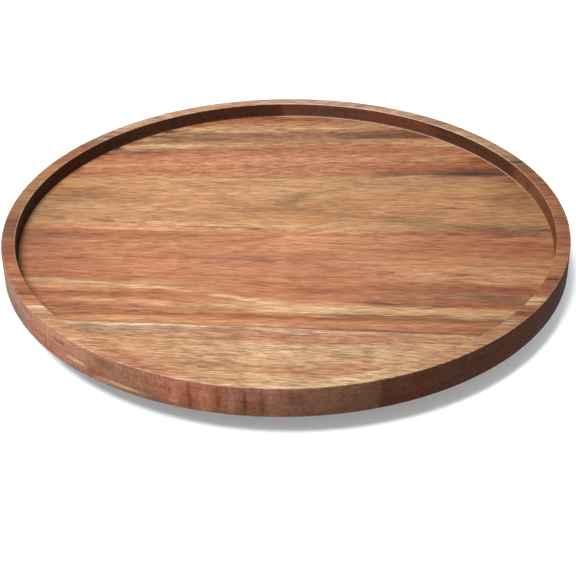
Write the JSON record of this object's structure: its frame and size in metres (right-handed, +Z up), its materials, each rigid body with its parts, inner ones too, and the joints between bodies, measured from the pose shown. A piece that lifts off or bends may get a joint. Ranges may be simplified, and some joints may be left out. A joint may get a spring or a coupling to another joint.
{
  "type": "lazy susan turntable",
  "caption": "Round edge-glued wooden lazy susan tray with a low raised rim, turning on a hidden steel ball bearing over a smaller round base with rubber feet.",
  "frame": {"origin": "on the table plane, under the spin axis, at the bottom of the rubber feet", "axes": "+Z up along the spin axis, -Y towards the front, X along the boards of the tray"},
  "size_m": [0.305, 0.305, 0.0322],
  "materials": {
    "acacia_back": "satin oiled",
    "acacia_mid_back": "satin oiled",
    "acacia_mid_front": "satin oiled",
    "acacia_front": "satin oiled",
    "acacia_base": "satin oiled",
    "zinc_plate": "zinc plated, satin",
    "screw_steel": "zinc plated",
    "ball_steel": "polished",
    "cage_nylon": "matt moulded",
    "foot_rubber": "matt"
  },
  "bodies": {
    "base": {"base_disc": "acacia_base", "bearing_bottom_plate": "zinc_plate", "bottom_plate_screw_01": "screw_steel", "bottom_plate_screw_02": "screw_steel", "bottom_plate_screw_03": "screw_steel", "bottom_plate_screw_04": "screw_steel", "rubber_foot_01": "foot_rubber", "rubber_foot_02": "foot_rubber", "rubber_foot_03": "foot_rubber", "rubber_foot_04": "foot_rubber"},
    "tray": {"tray_stave_back": "acacia_back", "tray_stave_mid_back": "acacia_mid_back", "tray_stave_mid_front": "acacia_mid_front", "tray_stave_front": "acacia_front", "bearing_top_plate": "zinc_plate", "top_plate_screw_01": "screw_steel", "top_plate_screw_02": "screw_steel", "top_plate_screw_03": "screw_steel", "top_plate_screw_04": "screw_steel"},
    "cage": {"ball_cage": "cage_nylon"},
    "ball_01": {"bearing_ball_01": "ball_steel"},
    "ball_02": {"bearing_ball_02": "ball_steel"},
    "ball_03": {"bearing_ball_03": "ball_steel"},
    "ball_04": {"bearing_ball_04": "ball_steel"},
    "ball_05": {"bearing_ball_05": "ball_steel"},
    "ball_06": {"bearing_ball_06": "ball_steel"},
    "ball_07": {"bearing_ball_07": "ball_steel"},
    "ball_08": {"bearing_ball_08": "ball_steel"},
    "ball_09": {"bearing_ball_09": "ball_steel"},
    "ball_10": {"bearing_ball_10": "ball_steel"},
    "ball_11": {"bearing_ball_11": "ball_steel"},
    "ball_12": {"bearing_ball_12": "ball_steel"},
    "ball_13": {"bearing_ball_13": "ball_steel"},
    "ball_14": {"bearing_ball_14": "ball_steel"},
    "ball_15": {"bearing_ball_15": "ball_steel"},
    "ball_16": {"bearing_ball_16": "ball_steel"}
  },
  "joints": [
    {"name": "tray_spin", "type": "hinge", "parent": "base", "child": "tray", "pos_m": [0, 0, 0.0119], "axis": [0, 0, 1], "continuous": true},
    {"name": "cage_orbit", "type": "hinge", "parent": "base", "child": "cage", "pos_m": [0, 0, 0.0119], "axis": [0, 0, 1], "continuous": true},
    {"name": "ball_roll_01", "type": "hinge", "parent": "cage", "child": "ball_01", "pos_m": [0.034, 0, 0.0119], "axis": [1, 0, 0], "continuous": true},
    {"name": "ball_roll_02", "type": "hinge", "parent": "cage", "child": "ball_02", "pos_m": [0.03141, 0.01301, 0.0119], "axis": [0.9239, 0.3827, 0], "continuous": true},
    {"name": "ball_roll_03", "type": "hinge", "parent": "cage", "child": "ball_03", "pos_m": [0.02404, 0.02404, 0.0119], "axis": [0.7071, 0.7071, 0], "continuous": true},
    {"name": "ball_roll_04", "type": "hinge", "parent": "cage", "child": "ball_04", "pos_m": [0.01301, 0.03141, 0.0119], "axis": [0.3827, 0.9239, 0], "continuous": true},
    {"name": "ball_roll_05", "type": "hinge", "parent": "cage", "child": "ball_05", "pos_m": [0, 0.034, 0.0119], "axis": [0, 1, 0], "continuous": true},
    {"name": "ball_roll_06", "type": "hinge", "parent": "cage", "child": "ball_06", "pos_m": [-0.01301, 0.03141, 0.0119], "axis": [-0.3827, 0.9239, 0], "continuous": true},
    {"name": "ball_roll_07", "type": "hinge", "parent": "cage", "child": "ball_07", "pos_m": [-0.02404, 0.02404, 0.0119], "axis": [-0.7071, 0.7071, 0], "continuous": true},
    {"name": "ball_roll_08", "type": "hinge", "parent": "cage", "child": "ball_08", "pos_m": [-0.03141, 0.01301, 0.0119], "axis": [-0.9239, 0.3827, 0], "continuous": true},
    {"name": "ball_roll_09", "type": "hinge", "parent": "cage", "child": "ball_09", "pos_m": [-0.034, 0, 0.0119], "axis": [-1, 0, 0], "continuous": true},
    {"name": "ball_roll_10", "type": "hinge", "parent": "cage", "child": "ball_10", "pos_m": [-0.03141, -0.01301, 0.0119], "axis": [-0.9239, -0.3827, 0], "continuous": true},
    {"name": "ball_roll_11", "type": "hinge", "parent": "cage", "child": "ball_11", "pos_m": [-0.02404, -0.02404, 0.0119], "axis": [-0.7071, -0.7071, 0], "continuous": true},
    {"name": "ball_roll_12", "type": "hinge", "parent": "cage", "child": "ball_12", "pos_m": [-0.01301, -0.03141, 0.0119], "axis": [-0.3827, -0.9239, 0], "continuous": true},
    {"name": "ball_roll_13", "type": "hinge", "parent": "cage", "child": "ball_13", "pos_m": [0, -0.034, 0.0119], "axis": [0, -1, 0], "continuous": true},
    {"name": "ball_roll_14", "type": "hinge", "parent": "cage", "child": "ball_14", "pos_m": [0.01301, -0.03141, 0.0119], "axis": [0.3827, -0.9239, 0], "continuous": true},
    {"name": "ball_roll_15", "type": "hinge", "parent": "cage", "child": "ball_15", "pos_m": [0.02404, -0.02404, 0.0119], "axis": [0.7071, -0.7071, 0], "continuous": true},
    {"name": "ball_roll_16", "type": "hinge", "parent": "cage", "child": "ball_16", "pos_m": [0.03141, -0.01301, 0.0119], "axis": [0.9239, -0.3827, 0], "continuous": true}
  ],
  "couplings": [
    {"joint": "cage_orbit", "follows": "tray_spin", "ratio": 0.5},
    {"joint": "ball_roll_01", "follows": "tray_spin", "ratio": -7.1429},
    {"joint": "ball_roll_02", "follows": "tray_spin", "ratio": -7.1429},
    {"joint": "ball_roll_03", "follows": "tray_spin", "ratio": -7.1429},
    {"joint": "ball_roll_04", "follows": "tray_spin", "ratio": -7.1429},
    {"joint": "ball_roll_05", "follows": "tray_spin", "ratio": -7.1429},
    {"joint": "ball_roll_06", "follows": "tray_spin", "ratio": -7.1429},
    {"joint": "ball_roll_07", "follows": "tray_spin", "ratio": -7.1429},
    {"joint": "ball_roll_08", "follows": "tray_spin", "ratio": -7.1429},
    {"joint": "ball_roll_09", "follows": "tray_spin", "ratio": -7.1429},
    {"joint": "ball_roll_10", "follows": "tray_spin", "ratio": -7.1429},
    {"joint": "ball_roll_11", "follows": "tray_spin", "ratio": -7.1429},
    {"joint": "ball_roll_12", "follows": "tray_spin", "ratio": -7.1429},
    {"joint": "ball_roll_13", "follows": "tray_spin", "ratio": -7.1429},
    {"joint": "ball_roll_14", "follows": "tray_spin", "ratio": -7.1429},
    {"joint": "ball_roll_15", "follows": "tray_spin", "ratio": -7.1429},
    {"joint": "ball_roll_16", "follows": "tray_spin", "ratio": -7.1429}
  ]
}
